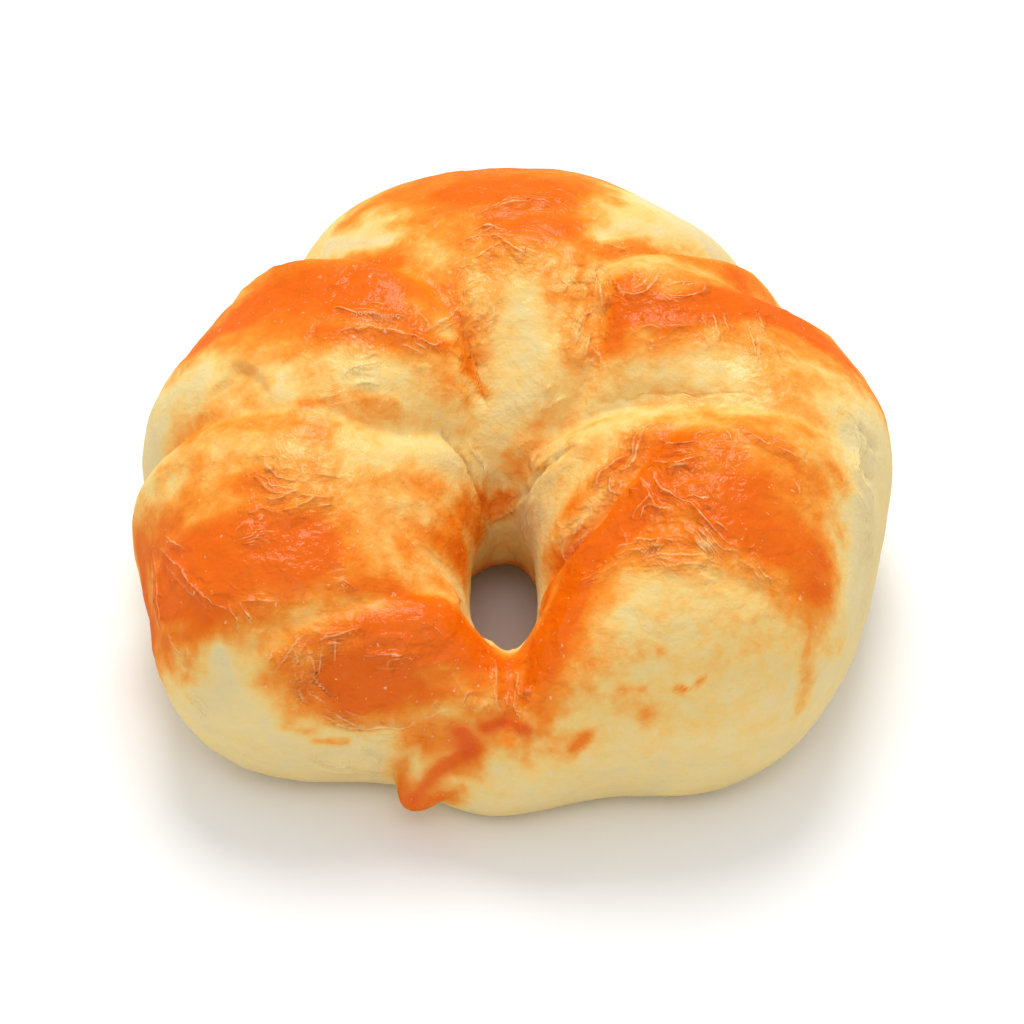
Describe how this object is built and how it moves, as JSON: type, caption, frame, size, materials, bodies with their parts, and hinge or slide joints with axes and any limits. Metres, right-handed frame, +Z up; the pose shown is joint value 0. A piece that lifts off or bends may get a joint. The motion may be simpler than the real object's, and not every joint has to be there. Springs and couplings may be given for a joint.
{
  "type": "ring croissant",
  "caption": "Soft ring-shaped bread roll of overlapping dough, pinched shut at the front, with creases running over the top into a small hole, glazed orange with cream folds.",
  "frame": {"origin": "under the middle of the ring's box, on the surface that it rests on", "axes": "+Z up, -Y towards the pinched join at the front, +X to the right seen from the front"},
  "size_m": [0.1201, 0.1199, 0.0485],
  "materials": {
    "baked_crust": "soft baked crust with a thin shiny egg glaze, orange on the turns and cream in the folds"
  },
  "bodies": {
    "root": {"ring_croissant": "baked_crust"}
  },
  "joints": []
}
